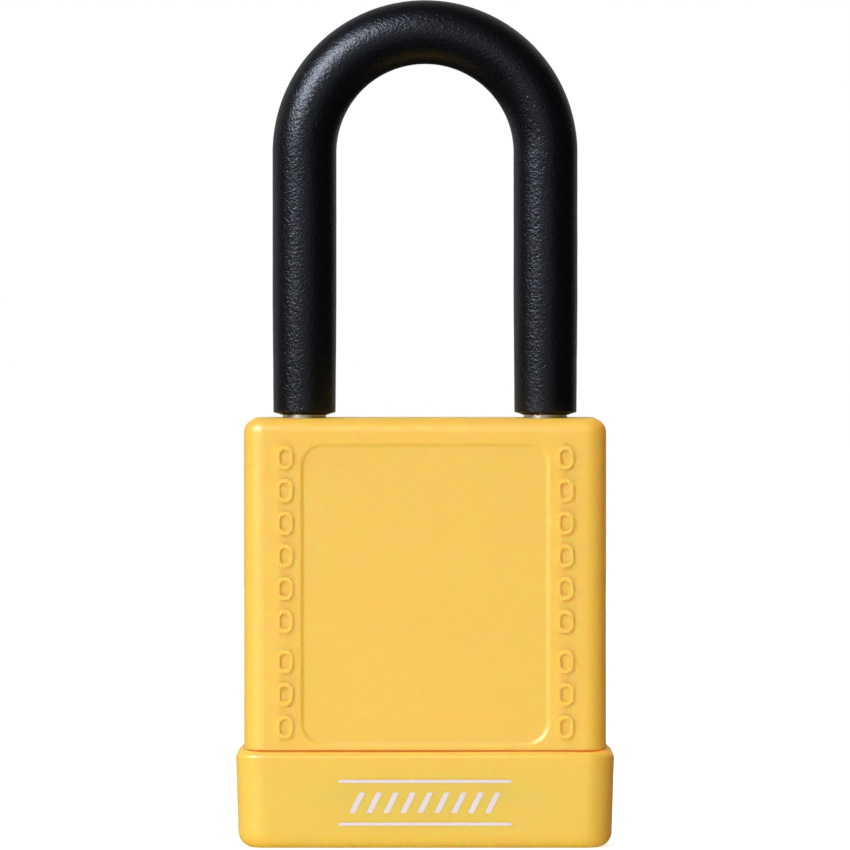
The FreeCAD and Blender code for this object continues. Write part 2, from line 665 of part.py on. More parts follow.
def make_shackle():
    """Steel bow with a long heel leg and a short toe leg."""
    body = new_body("shackle")
    path = draw_bow(body, "BowPath", "heel_end", "toe_end")
    section = new_sketch(body, "XY_Plane", "BarSection", "heel_end")
    draw_circle(section, "bar", "bar_radius", "-1 * leg_across")
    bow = sweep_bow(body, "Bow", path, section)

    def end_rim(edge):
        return at_height(edge, size("toe_end")) or at_height(edge, size("heel_end"))

    add_chamfer(body, "LegEnds", bow, end_rim, "toe_bevel")
    notches = new_sketch(body, "XZ_Plane", "BallNotches")
    notch_across = "( ball_in + ball_travel )"
    draw_circle(notches, "heel", "notch_radius", f"-1 * {notch_across}", "ball_height")
    draw_circle(notches, "toe", "notch_radius", notch_across, "ball_height")
    add_pocket(body, "BallNotchPocket", notches, "4 * bar_radius", both_ways=True)

    flat = new_sketch(body, "XZ_Plane", "HeelFlat")
    flat_top = "stop_pin_height + cross_pin_radius + flat_above"
    draw_rectangle(
        flat, "-1 * leg_across - 2 * bar_radius", "-1 * leg_across - bar_radius + heel_flat",
        "heel_end + collar_tall", flat_top)
    add_pocket(body, "HeelFlatPocket", flat, "4 * bar_radius", both_ways=True)
    neck = new_sketch(body, "XY_Plane", "HeelNeck", "heel_end + collar_tall + neck_tall")
    draw_circle(neck, "outside", "2 * bar_radius", "-1 * leg_across")
    draw_circle(neck, "neck", "neck_radius", "-1 * leg_across")
    add_pocket(body, "HeelNeckPocket", neck, "neck_tall")


def make_sleeve():
    """Plastic sleeve moulded over the bow between the two lower ends."""
    body = new_body("shackle_sleeve")
    path = draw_bow(body, "SleevePath", "sleeve_end", "sleeve_end")
    section = new_sketch(body, "XY_Plane", "SleeveSection", "sleeve_end")
    draw_circle(section, "outside", "sleeve_radius", "-1 * leg_across")
    draw_circle(section, "inside", "sleeve_bore", "-1 * leg_across")
    sleeve = sweep_bow(body, "Sleeve", path, section)

    def outer_rim(edge):
        is_wide = edge.BoundBox.YLength > size("sleeve_radius") + size("sleeve_bore")
        return is_wide and at_height(edge, size("sleeve_end"))

    add_chamfer(body, "SleeveEnds", sleeve, outer_rim, "sleeve_bevel")


# ---------------------------------------------------------------- cylinder

def make_housing():
    """Cylinder housing: a round barrel with a rib that holds the driver pins."""
    body = new_body("cylinder_housing")
    barrel = new_sketch(body, "XY_Plane", "Barrel", "housing_low")
    draw_circle(barrel, "barrel", "housing_radius")
    add_pad(body, "BarrelPad", barrel, "housing_top - housing_low")
    rib = new_sketch(body, "XY_Plane", "Rib", "rib_low")
    draw_rectangle(rib, "0", "rib_reach", "-1 * rib_thick / 2", "rib_thick / 2")
    add_pad(body, "RibPad", rib, "housing_top - rib_low")
    bore = new_sketch(body, "XY_Plane", "PlugBore", "housing_top")
    draw_circle(bore, "bore", "plug_bore")
    add_pocket(body, "PlugBorePocket", bore)
    seat = new_sketch(body, "XY_Plane", "HeadSeat", "housing_low + head_tall + fit_gap")
    draw_circle(seat, "seat", "head_bore")
    add_pocket(body, "HeadSeatPocket", seat)

    strip = new_sketch(body, "YZ_Plane", "StripSlot", "rib_reach")
    half = "( strip_width / 2 + press_gap )"
    draw_rectangle(strip, f"-1 * {half}", half, "strip_low - press_gap", "strip_high + press_gap")
    add_pocket(body, "StripSlotPocket", strip, "rib_reach - strip_floor")
    chambers = new_sketch(body, "YZ_Plane", "PinChambers", "strip_floor + run_out")
    for number in range(PIN_COUNT):
        height = f"first_pin + {number} * pin_pitch"
        draw_circle(chambers, f"chamber_{number}", "pin_bore", "0", height)
    add_pocket(body, "PinChamberPocket", chambers, "strip_floor - plug_bore + 2 * run_out")
    keeper = new_sketch(body, "XZ_Plane", "KeeperGroove")
    draw_circle(keeper, "keeper", "cross_pin_radius + press_gap", "-1 * keeper_across", "keeper_height")
    add_pocket(body, "KeeperGroovePocket", keeper, both_ways=True)


def draw_keyway(sketch):
    """Keyway outline: two wards make the slot wind from one side to the other."""
    half = "key_slot_half"
    foot = "-1 * key_slot_low"
    first = "-1 * key_slot_low + ward_low"
    second = "-1 * key_slot_low + ward_high"
    neck = "key_slot_high - key_taper"
    draw_outline(sketch, [
        (f"-1 * {half}", foot), (half, foot),
        (half, second), ("ward_reach", second),
        ("ward_reach", f"{second} + ward_tall"), (half, f"{second} + ward_tall"),
        (half, neck), ("ward_reach", "key_slot_high"),
        ("-1 * ward_reach", "key_slot_high"), (f"-1 * {half}", neck),
        (f"-1 * {half}", f"{first} + ward_tall"), ("-1 * ward_reach", f"{first} + ward_tall"),
        ("-1 * ward_reach", first), (f"-1 * {half}", first),
    ])


def make_plug():
    """Plug with its keyway, pin chambers, clip groove and drive slot."""
    body = new_body("plug")
    barrel = new_sketch(body, "XY_Plane", "PlugBarrel", "housing_low + head_tall")
    draw_circle(barrel, "barrel", "plug_radius")
    add_pad(body, "PlugBarrelPad", barrel, "plug_end - housing_low - head_tall")
    head = new_sketch(body, "XY_Plane", "PlugHead", "housing_low")
    draw_circle(head, "head", "head_radius")
    head_pad = add_pad(body, "PlugHeadPad", head, "head_tall")
    add_chamfer(
        body, "PlugHeadBevel", head_pad,
        lambda edge: at_height(edge, size("housing_low")), "head_bevel")

    groove = new_sketch(body, "XY_Plane", "ClipGroove", "housing_top + clip_thick + 2 * fit_gap")
    draw_circle(groove, "outside", "clip_outer")
    draw_circle(groove, "inside", "groove_radius")
    add_pocket(body, "ClipGroovePocket", groove, "clip_thick + 2 * fit_gap")
    slot = new_sketch(body, "XY_Plane", "DriveSlot", "plug_end")
    draw_centred(slot, "( 3 * plug_radius )", "( tang_thick + 2 * fit_gap )")
    add_pocket(body, "DriveSlotPocket", slot, "slot_depth")

    chambers = new_sketch(body, "XZ_Plane", "PlugChambers", "pin_floor")
    for number in range(PIN_COUNT):
        height = f"first_pin + {number} * pin_pitch"
        draw_circle(chambers, f"chamber_{number}", "pin_bore", "0", height)
    add_pocket(body, "PlugChamberPocket", chambers, "pin_floor + plug_radius + run_out")
    keyway = new_sketch(body, "XY_Plane", "Keyway", "keyway_end")
    draw_keyway(keyway)
    add_pocket(body, "KeywayPocket", keyway)


def make_key_pin(number):
    """Key pin with a tapered tip, standing in the plug's chamber towards the back."""
    tip = doc.addObject("Part::Cone", f"KeyPinTip{number}")
    tip.setExpression("Radius1", s("pin_tip"))
    tip.setExpression("Radius2", s("pin_radius"))
    tip.setExpression("Height", s("pin_tip_tall"))
    shank = new_cylinder(f"KeyPinShank{number}", "pin_radius", f"key_pin_long_{number} - pin_tip_tall")
    height = f"first_pin + {number - 1} * pin_pitch"
    set_place(tip, back=f"key_pin_top - key_pin_long_{number}", up=height, turn=TO_BACK)
    set_place(shank, back=f"key_pin_top - key_pin_long_{number} + pin_tip_tall", up=height, turn=TO_BACK)
    fuse(f"key_pin_{number}", [tip, shank])


def make_driver_pin(number):
    """Driver pin in the housing's rib, with a waist."""
    height = f"first_pin + {number - 1} * pin_pitch"
    lengths = ("driver_rim", "( driver_long - 2 * driver_rim )", "driver_rim")
    radii = ("pin_radius", "driver_waist", "pin_radius")
    start = "driver_rest"
    rings = []
    for ring, (length, radius) in enumerate(zip(lengths, radii)):
        piece = new_cylinder(f"Driver{number}Ring{ring}", radius, length)
        rings.append(set_place(piece, across=start, up=height, turn=TO_RIGHT))
        start = f"{start} + {length}"
    fuse(f"driver_pin_{number}", rings)


def make_coil(label, coil, wire, turns, room, place):
    """Compression spring: a round wire carried along a helix, fitted to the room it has."""
    helix = doc.addObject("Part::Helix", f"{label}_path")
    helix.setExpression("Radius", s(coil))
    helix.setExpression("Height", s(f"{room} - 2 * {wire} - 2 * spring_gap"))
    helix.setExpression("Pitch", s(f"( {room} - 2 * {wire} - 2 * spring_gap ) / {turns}"))
    helix.SegmentLength = 1
    section = doc.addObject("Part::Circle", f"{label}_section")
    section.setExpression("Radius", s(wire))
    set_place(section, across=coil, turn=(V(1, 0, 0), 90))
    doc.recompute()
    spring = doc.addObject("Part::Sweep", label)
    spring.Sections = [section]
    spring.Spine = (helix, [f"Edge{index + 1}" for index in range(len(helix.Shape.Edges))])
    spring.Solid = True
    spring.Frenet = True
    spring.Label = label
    place(spring)
    sub_parts.append(spring)


def make_pin_spring(number):
    """Small spring between a driver pin and the strip."""
    height = f"first_pin + {number - 1} * pin_pitch"
    start = "driver_rest + driver_long"

    def place(spring):
        set_place(spring, across=f"{start} + spring_wire + spring_gap", up=height, turn=TO_RIGHT)

    make_coil(
        f"pin_spring_{number}", "spring_coil", "spring_wire", "spring_turns",
        f"( strip_floor - driver_rest - driver_long )", place)


def make_strip():
    """Brass strip that closes the pin chambers."""
    strip = doc.addObject("Part::Box", "chamber_cover")
    strip.setExpression("Length", s("strip_thick"))
    strip.setExpression("Width", s("strip_width"))
    strip.setExpression("Height", s("strip_high - strip_low"))
    set_place(strip, across="strip_floor", back="-1 * strip_width / 2", up="strip_low")
    strip.Label = "chamber_cover"
    sub_parts.append(strip)


def make_clip():
    """Open ring in the plug's groove, behind the housing."""
    body = new_body("plug_circlip")
    ring = new_sketch(body, "XY_Plane", "ClipRing", "housing_top + fit_gap")
    draw_circle(ring, "outside", "clip_outer")
    draw_circle(ring, "inside", "clip_inner")
    add_pad(body, "ClipPad", ring, "clip_thick")
    gap = new_sketch(body, "XY_Plane", "ClipGap", "housing_top + clip_thick + fit_gap")
    draw_rectangle(gap, "0", "2 * clip_outer", "-1 * clip_gap / 2", "clip_gap / 2")
    add_pocket(body, "ClipGapPocket", gap)


# ---------------------------------------------------------------- cam, balls and small parts

def make_cam():
    """Cam: a tang in the plug's slot, a base disc, a neck and an oval lobe between the balls."""
    tang = doc.addObject("Part::Box", "CamTang")
    tang.setExpression("Length", s("tang_width"))
    tang.setExpression("Width", s("tang_thick"))
    tang.setExpression("Height", s("tang_tall + cam_disc_tall / 2"))
    set_place(tang, "-1 * tang_width / 2", "-1 * tang_thick / 2", "cam_low - tang_tall")
    disc = set_place(new_cylinder("CamDisc", "cam_base", "cam_disc_tall"), up="cam_low")
    neck = new_cylinder("CamNeck", "cam_neck", "lobe_low + lobe_tall / 2 - cam_low")
    set_place(neck, up="cam_low")
    oval = doc.addObject("Part::Ellipse", "LobeOutline")
    oval.setExpression("MajorRadius", s("cam_long"))
    oval.setExpression("MinorRadius", s("cam_short"))
    set_place(oval, up="lobe_low", turn=(V(0, 0, 1), 90))
    lobe = doc.addObject("Part::Extrusion", "Lobe")
    lobe.Base = oval
    lobe.DirMode = "Custom"
    lobe.Dir = V(0, 0, 1)
    lobe.Solid = True
    lobe.setExpression("LengthFwd", s("lobe_tall"))
    fuse("locking_cam", [tang, disc, neck, lobe])


def make_ball(label, side):
    """One locking ball, drawn in towards the cam."""
    ball = doc.addObject("Part::Sphere", label)
    ball.setExpression("Radius", s("ball_radius"))
    set_place(ball, across=f"{side} * ball_in", up="ball_height")
    ball.Label = label
    sub_parts.append(ball)


def make_cross_pin(label, across, height):
    """Pressed pin from front to back through the lock body."""
    pin = new_cylinder(label, "cross_pin_radius", "cross_pin_long")
    set_place(pin, across=f"-1 * {across}", back="-1 * cross_pin_long / 2", up=height, turn=TO_BACK)
    pin.Label = label
    sub_parts.append(pin)


def make_bore_plug():
    """Short plug pressed into the outer end of the cross bore."""
    plug = new_cylinder("cross_bore_plug", "ball_bore - press_gap", "block_width / 2 - plug_seat")
    set_place(plug, across="plug_seat", up="ball_height", turn=TO_RIGHT)
    plug.Label = "cross_bore_plug"
    sub_parts.append(plug)


def make_lift_spring():
    """Spring under the long leg that pops the shackle up."""
    def place(spring):
        set_place(spring, "-1 * leg_across", "0", "heel_bore_floor + lift_spring_wire + spring_gap")

    make_coil(
        "shackle_spring", "lift_spring_coil", "lift_spring_wire", "lift_spring_turns",
        "( heel_end - heel_bore_floor )", place)


# ---------------------------------------------------------------- the whole padlock

def make_padlock():
    """Make every sub-part."""
    make_cover()
    make_cap()
    make_block()
    make_shackle()
    make_sleeve()
    make_housing()
    make_plug()
    for number in range(1, PIN_COUNT + 1):
        make_key_pin(number)
        make_driver_pin(number)
        make_pin_spring(number)
    make_strip()
    make_clip()
    make_cam()
    make_ball("locking_ball_toe", 1)
    make_ball("locking_ball_heel", -1)
    make_lift_spring()
    make_cross_pin("shackle_stop_pin", "stop_pin_across", "stop_pin_height")
    make_cross_pin("cylinder_retaining_pin", "keeper_across", "keeper_height")
    make_bore_plug()
    doc.recompute()


def check_and_write():
    """Stop on any failed object or bad shape, then write one STEP file for each sub-part."""
    for item in doc.Objects:
        if "Invalid" in item.State or "Error" in item.State:
            raise RuntimeError(f"{item.Name} did not recompute: {item.State}")
    for item in sub_parts:
        shape = item.Shape
        if shape.isNull() or not shape.isValid() or len(shape.Solids) != 1:
            raise RuntimeError(f"{item.Label} is not one valid solid")
    os.makedirs("parts", exist_ok=True)
    for item in sub_parts:
        item.Shape.exportStep(os.path.join("parts", item.Label + ".step"))
        print(f"{item.Label}: {item.Shape.Volume:.2f} mm3")


make_padlock()
check_and_write()
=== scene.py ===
"""The looks of a plastic-covered safety padlock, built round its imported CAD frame, in metres."""
import json
import math

import bpy
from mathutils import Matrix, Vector, noise
from mathutils.bvhtree import BVHTree


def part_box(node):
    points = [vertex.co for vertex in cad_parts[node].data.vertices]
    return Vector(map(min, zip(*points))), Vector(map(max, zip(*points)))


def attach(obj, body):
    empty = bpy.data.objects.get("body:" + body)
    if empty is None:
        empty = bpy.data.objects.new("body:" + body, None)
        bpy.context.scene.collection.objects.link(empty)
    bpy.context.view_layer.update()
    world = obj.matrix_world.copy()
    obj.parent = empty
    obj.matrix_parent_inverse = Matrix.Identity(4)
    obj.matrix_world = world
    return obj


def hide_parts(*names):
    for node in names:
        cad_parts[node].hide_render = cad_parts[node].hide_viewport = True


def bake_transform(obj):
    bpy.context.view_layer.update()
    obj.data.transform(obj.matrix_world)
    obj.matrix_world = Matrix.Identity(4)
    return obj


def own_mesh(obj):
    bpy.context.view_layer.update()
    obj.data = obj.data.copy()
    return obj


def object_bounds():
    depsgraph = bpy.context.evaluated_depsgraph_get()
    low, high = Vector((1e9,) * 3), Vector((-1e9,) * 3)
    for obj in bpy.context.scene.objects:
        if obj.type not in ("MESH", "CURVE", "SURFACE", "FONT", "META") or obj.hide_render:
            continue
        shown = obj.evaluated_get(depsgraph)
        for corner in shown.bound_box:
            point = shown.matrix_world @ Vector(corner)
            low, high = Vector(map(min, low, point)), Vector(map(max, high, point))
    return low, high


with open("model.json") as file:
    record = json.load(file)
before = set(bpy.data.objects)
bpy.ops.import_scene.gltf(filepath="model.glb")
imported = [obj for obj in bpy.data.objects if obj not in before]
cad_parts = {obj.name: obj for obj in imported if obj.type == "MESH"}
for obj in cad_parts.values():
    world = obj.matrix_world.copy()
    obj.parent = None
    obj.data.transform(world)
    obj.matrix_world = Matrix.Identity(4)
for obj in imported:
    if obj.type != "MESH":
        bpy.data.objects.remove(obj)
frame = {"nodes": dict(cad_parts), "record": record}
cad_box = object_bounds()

MM = 0.001
NODES = frame["nodes"]
RIGHT, BACK, UP = Vector((1, 0, 0)), Vector((0, 1, 0)), Vector((0, 0, 1))


# ---------------------------------------------------------------- material helpers

def new_material(name, **values):
    """A material whose Principled shader starts with the given input values."""
    material = bpy.data.materials.new(name)
    material.use_nodes = True
    surface = material.node_tree.nodes["Principled BSDF"]
    for key, value in values.items():
        surface.inputs[key.replace("_", " ")].default_value = value
    return material


def add_node(material, kind, inputs=None, **settings):
    """A shader node, with its settings and its inputs' values or sources."""
    node = material.node_tree.nodes.new(kind)
    for key, value in settings.items():
        setattr(node, key, value)
    for key, value in (inputs or {}).items():
        if isinstance(value, bpy.types.NodeSocket):
            material.node_tree.links.new(value, node.inputs[key])
        else:
            node.inputs[key].default_value = value
    return node


def drive(material, **sources):
    """Link sources to inputs of the Principled shader."""
    surface = material.node_tree.nodes["Principled BSDF"]
    for key, source in sources.items():
        material.node_tree.links.new(source, surface.inputs[key.replace("_", " ")])


def place_of(material, stretch=(1, 1, 1)):
    """Coordinates on the piece in metres, stretched."""
    coordinates = add_node(material, "ShaderNodeTexCoord").outputs["Object"]
    return add_node(
        material, "ShaderNodeMapping", {"Vector": coordinates, "Scale": stretch}).outputs["Vector"]


def noise_of(material, where, period, detail=2.0, roughness=0.5, distortion=0.0):
    """Smooth noise from 0 to 1 whose blobs are about one period across."""
    return add_node(material, "ShaderNodeTexNoise", {
        "Vector": where, "Scale": 1 / period, "Detail": detail, "Roughness": roughness,
        "Distortion": distortion}).outputs["Fac"]


def cells_of(material, where, period):
    """Distance in rounded cells about one period across."""
    return add_node(material, "ShaderNodeTexVoronoi", {
        "Vector": where, "Scale": 1 / period}).outputs["Distance"]


def spread(material, value, low, high, from_low=0.0, from_high=1.0):
    """The value's range from_low to from_high carried over to low to high."""
    return add_node(material, "ShaderNodeMapRange", {
        "Value": value, "From Min": from_low, "From Max": from_high, "To Min": low, "To Max": high,
    }).outputs["Result"]


def math_of(material, operation, first, second):
    """One sum, product or other step on two values."""
    return add_node(material, "ShaderNodeMath", {0: first, 1: second}, operation=operation).outputs["Value"]


def two_tone(material, factor, first, second):
    """A colour between two colours."""
    mix = add_node(material, "ShaderNodeMix", data_type="RGBA")
    links = material.node_tree.links
    links.new(factor, mix.inputs["Factor"])
    mix.inputs["A"].default_value = (*first, 1)
    mix.inputs["B"].default_value = (*second, 1)
    return mix.outputs["Result"]


def add_bump(material, height, depth):
    """Tilt the surface by a height map whose full range stands for a depth."""
    bump = add_node(material, "ShaderNodeBump", {"Height": height, "Distance": depth, "Strength": 1.0})
    drive(material, Normal=bump.outputs["Normal"])


# ---------------------------------------------------------------- materials

def cover_plastic():
    """Golden yellow nylon: satin, with a fine grain, faint clouds of colour and a painted orange glow along
    the seam.
    """
    # Emission Color is the orange of the painted glow along the seam, which is switched on by height below.
    material = new_material(
        "cover_plastic", IOR=1.5, Specular_IOR_Level=0.8, Subsurface_Weight=0.8,
        Subsurface_Radius=(1.0, 0.3, 0.06), Subsurface_Scale=1.8 * MM,
        Emission_Color=(1.0, 0.2, 0.0, 1))
    where = place_of(material)
    clouds = noise_of(material, where, 9 * MM, detail=3)
    drive(material, Base_Color=two_tone(material, clouds, (0.785, 0.496, 0.062), (0.805, 0.521, 0.074)))
    fine = noise_of(material, where, 0.16 * MM, detail=3, roughness=0.6)
    drive(material, Roughness=spread(material, fine, 0.38, 0.5))
    add_bump(material, fine, 0.006 * MM)
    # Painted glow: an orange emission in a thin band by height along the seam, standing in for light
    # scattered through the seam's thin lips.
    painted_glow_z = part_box("bottom_cap")[1].z - 0.28 * MM
    height = add_node(material, "ShaderNodeSeparateXYZ", {"Vector": where}).outputs["Z"]
    away = math_of(material, "ABSOLUTE", math_of(material, "SUBTRACT", height, painted_glow_z), 0.0)
    drive(material, Emission_Strength=spread(material, away, 0.2, 0.0, 0.1 * MM, 0.3 * MM))
    return material


def sleeve_plastic():
    """Black plastic with a leathery grain of short wrinkles."""
    material = new_material(
        "sleeve_plastic", IOR=1.5, Specular_IOR_Level=0.38, Specular_Tint=(0.76, 0.84, 1.0, 1))
    where = place_of(material)
    wrinkle = noise_of(material, where, 0.34 * MM, detail=2, roughness=0.5, distortion=0.8)
    pebble = cells_of(material, where, 0.32 * MM)
    clouds = noise_of(material, where, 2.2 * MM, detail=2)
    black = two_tone(material, wrinkle, (0.0009, 0.0009, 0.0013), (0.0016, 0.0016, 0.0022))
    drive(material, Base_Color=black)
    drive(material, Roughness=spread(material, clouds, 0.31, 0.36))
    height = math_of(material, "SUBTRACT", wrinkle, math_of(material, "MULTIPLY", pebble, 0.35))
    add_bump(material, height, 0.052 * MM)
    return material


def band_print():
    """Thin silver-white pad print with a slightly uneven film."""
    material = new_material("printed_band", IOR=1.5, Metallic=0.15)
    where = place_of(material)
    film = noise_of(material, where, 0.5 * MM, detail=3)
    drive(material, Base_Color=two_tone(material, film, (0.69, 0.58, 0.61), (0.77, 0.67, 0.69)))
    drive(material, Roughness=spread(material, film, 0.34, 0.5))
    add_bump(material, film, 0.004 * MM)
    return material


def metal(name, dark, light, low, high, stretch=(1, 1, 1), period=0.3 * MM, depth=0.003 * MM):
    """Bare metal with blotches of colour, and tool marks along one axis in its gloss and height."""
    material = new_material(name, Metallic=1.0)
    marks = noise_of(material, place_of(material, stretch), period, detail=4, roughness=0.6)
    blotch = noise_of(material, place_of(material), 2.5 * MM, detail=3)
    drive(material, Base_Color=two_tone(material, blotch, dark, light))
    drive(material, Roughness=spread(material, marks, low, high, 0.3, 0.7))
    add_bump(material, marks, depth)
    return material


def make_materials():
    """One material for each slot of the record."""
    along_z, along_x, along_y, turned = (1, 1, 0.06), (0.06, 1, 1), (1, 0.08, 1), (1, 1, 0.12)
    return {
        "cover_plastic": cover_plastic(),
        "sleeve_plastic": sleeve_plastic(),
        "printed_band": band_print(),
        "shackle_steel": metal(
            "shackle_steel", (0.50, 0.48, 0.46), (0.62, 0.60, 0.58), 0.26, 0.4, along_z),
        "body_aluminium": metal(
            "body_aluminium", (0.66, 0.67, 0.69), (0.78, 0.79, 0.81), 0.28, 0.48, along_x),
        "cylinder_brass": metal(
            "cylinder_brass", (0.68, 0.47, 0.19), (0.80, 0.59, 0.29), 0.18, 0.36, turned),
        "spring_steel": metal(
            "spring_steel", (0.42, 0.43, 0.45), (0.55, 0.56, 0.58), 0.2, 0.34, period=0.12 * MM),
        "cam_steel": metal(
            "cam_steel", (0.30, 0.30, 0.31), (0.40, 0.40, 0.41), 0.38, 0.6,
            period=0.09 * MM, depth=0.008 * MM),
        "ball_steel": metal(
            "ball_steel", (0.62, 0.63, 0.65), (0.72, 0.73, 0.75), 0.06, 0.14, depth=0.0005 * MM),
        "pin_steel": metal(
            "pin_steel", (0.48, 0.49, 0.51), (0.60, 0.61, 0.63), 0.2, 0.34, along_y),
    }


def paint_nodes(materials):
    """Give every CAD node the material of its slot."""
    for row in frame["record"]["subparts"]:
        mesh = NODES[row["node"]].data
        mesh.materials.clear()
        mesh.materials.append(materials[row["material_slot"]])


# ---------------------------------------------------------------- mesh helpers

def add_piece(name, points, faces, materials, slot):
    """A smooth mesh piece from points and faces, in the material of a record slot."""
    mesh = bpy.data.meshes.new(name)
    mesh.from_pydata(points, [], faces)
    mesh.update()
    mesh.shade_smooth()
    mesh.materials.append(materials[slot])
    piece = bpy.data.objects.new(name, mesh)
    bpy.context.scene.collection.objects.link(piece)
    return piece


def ring_faces(rings, sides, closed=False):
    """Quads from each ring of points to the next, and from the last to the first on a closed sweep."""
    faces = []
    for ring in range(rings if closed else rings - 1):
        here, there = ring * sides, (ring + 1) % rings * sides
        for side in range(sides):
            after = (side + 1) % sides
            faces.append((here + side, here + after, there + after, there + side))
    return faces


def steps(low, high, count):
    """Evenly spaced values from low to high, both included."""
    return [low + (high - low) * index / (count - 1) for index in range(count)]


# ---------------------------------------------------------------- sleeve on the shackle

def bow_frame(distance, leg, across, arch_z, low_z):
    """The bow's centre at a distance from its left end, and the directions out of the bow and along it."""
    arc = math.pi * across
    if distance < leg:
        return Vector((-across, 0, low_z + distance)), -RIGHT, UP
    if distance > leg + arc:
        return Vector((across, 0, low_z + 2 * leg + arc - distance)), RIGHT, -UP
    angle = math.pi - (distance - leg) / across
    out = Vector((math.cos(angle), 0, math.sin(angle)))
    return Vector((0, 0, arch_z)) + out * across, out, Vector((math.sin(angle), 0, -math.cos(angle)))


def grain_height(point):
    """Moulded grain: slow unevenness and fine pebbles, in metres out of the surface."""
    slow = noise.noise(point / (3.5 * MM)) * 0.012 * MM
    pebbles = noise.noise(point / (0.36 * MM)) * 0.007 * MM
    return slow + pebbles


def make_sleeve(materials):
    """Plastic sleeve round the bow: grained outside, cut ends that are not quite even, and a plain bore."""
    low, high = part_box("shackle_sleeve")
    bar_low, bar_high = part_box("shackle")
    fit, mouth, thin_wall = 0.02 * MM, 0.25 * MM, 0.3 * MM
    radius = (high.y - low.y) / 2
    bore = (bar_high.y - bar_low.y) / 2 + fit
    across = high.x - radius
    arch_z, low_z = high.z - across - radius, low.z
    leg = arch_z - low_z
    total = 2 * leg + math.pi * across
    sides, outer_rings, inner_rings = 136, 640, 60
    bevel_tall, bevel_wide = 0.3 * MM, 1.0 * MM
    slim_by, slim_over = 0.1 * MM, 12 * MM
    cut_period, cut_swing, cut_lift = 1.7 * MM, 0.06 * MM, 0.03 * MM
    end_profile = [
        (0.0, bore + mouth), (0.0, radius - bevel_wide), (0.35 * bevel_tall, radius - 0.5 * bevel_wide),
        (0.7 * bevel_tall, radius - 0.1 * bevel_wide), (0.85 * bevel_tall, radius - 0.03 * bevel_wide),
    ]
    outside = [(distance, radius) for distance in steps(bevel_tall, total - bevel_tall, outer_rings)]
    inside = [(distance, bore) for distance in steps(total - mouth, mouth, inner_rings)]
    far_profile = [(total - distance, reach) for distance, reach in reversed(end_profile)]
    profile = end_profile + outside + far_profile + inside
    points = []
    for distance, reach in profile:
        centre, out, along = bow_frame(distance, leg, across, arch_z, low_z)
        from_end = min(distance, total - distance)
        grained = reach > bore + thin_wall
        slim = slim_by * max(0.0, 1 - from_end / slim_over) if grained else 0.0
        for side in range(sides):
            turn = 2 * math.pi * side / sides
            away = out * math.cos(turn) + BACK * math.sin(turn)
            point = centre + away * (reach - slim)
            if grained:
                ragged = max(0.0, 1 - from_end / (4 * bevel_tall))
                cut = noise.noise(point / cut_period) * cut_swing + cut_lift
                point += along * math.copysign(cut * ragged, total / 2 - distance)
                point += away * grain_height(point)
            points.append(point)
    faces = ring_faces(len(profile), sides, closed=True)
    piece = add_piece("grained_sleeve", points, faces, materials, "sleeve_plastic")
    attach(piece, "shackle_body")
    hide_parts("shackle_sleeve")


# ---------------------------------------------------------------- printed band on the cap

def surface_finder(node):
    """A function that gives the front of a node at a place across and up."""
    mesh = NODES[node].data
    tree = BVHTree.FromPolygons([v.co for v in mesh.vertices], [tuple(p.vertices) for p in mesh.polygons])
    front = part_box(node)[0].y - 1 * MM

    def front_at(across, up):
        return tree.ray_cast(Vector((across, front, up)), BACK)[0].y
    return front_at


def slanted_bar(centre_x, low_z, high_z, width, slant, corner):
    """Outline of a bar with rounded corners that leans to the right."""
    outline = []
    corners = [(-1, -1, 180), (1, -1, 270), (1, 1, 0), (-1, 1, 90)]
    for side, end, first in corners:
        x = centre_x + side * (width / 2 - corner) + slant * (end / 2)
        z = (low_z if end < 0 else high_z) - end * corner
        for turn in steps(first, first + 90, 5):
            angle = math.radians(turn)
            outline.append((x + corner * math.cos(angle), z + corner * math.sin(angle)))
    return outline


def make_print(materials):
    """A generic printed band: two thin lines with a row of slanted bars between them."""
    front_at = surface_finder("bottom_cap")
    middle, wide, tall, line = 4.92 * MM, 18.5 * MM, 4.9 * MM, 0.32 * MM
    bars, bar_wide, bar_tall, slant, corner = 9, 0.62 * MM, 2.2 * MM, 1.0 * MM, 0.12 * MM
    film, margin = 0.02 * MM, 2 * MM
    outlines = []
    for edge in (middle - tall / 2, middle + tall / 2 - line):
        outlines.append(slanted_bar(0, edge, edge + line, wide, 0, line * 0.4))
    for x in steps(-wide / 2 + margin, wide / 2 - margin, bars):
        low, high = middle - bar_tall / 2, middle + bar_tall / 2
        outlines.append(slanted_bar(x, low, high, bar_wide, slant, corner))
    points, faces = [], []
    for outline in outlines:
        first, count = len(points), len(outline)
        for proud in (film, -film):
            points += [Vector((x, front_at(x, z) - proud, z)) for x, z in outline]
        faces.append([first + index for index in range(count)])
        faces.append([first + 2 * count - 1 - index for index in range(count)])
        for index in range(count):
            after = (index + 1) % count
            faces.append((first + after, first + index, first + count + index, first + count + after))
    piece = add_piece("printed_band", points, faces, materials, "printed_band")
    piece.data.shade_flat()
    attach(piece, "padlock_body")


# ---------------------------------------------------------------- springs

WIRE_SIDES, COIL_STEPS = 10, 28


def coil_points(start, axis, side, length, coil, wire, turns):
    """Points of a round wire wound along an axis, with its first and last turn closed."""
    other = axis.cross(side)
    count = int(turns * COIL_STEPS) + 1
    open_length = length - 2 * wire
    rise = []
    for step in range(count):
        turn = step / COIL_STEPS
        closed = min(turn, 1) + max(turn - (turns - 1), 0)
        rise.append((closed, turn - closed))
    dead = 2 * wire
    pitch = (open_length - 2 * dead) / (turns - 2)
    points = []
    for step, (closed, opened) in enumerate(rise):
        angle = 2 * math.pi * step / COIL_STEPS
        out = side * math.cos(angle) + other * math.sin(angle)
        centre = start + axis * (wire + closed * dead + opened * pitch) + out * coil
        for index in range(WIRE_SIDES):
            turn = 2 * math.pi * index / WIRE_SIDES
            points.append(centre + (out * math.cos(turn) + axis * math.sin(turn)) * wire)
    return points, count


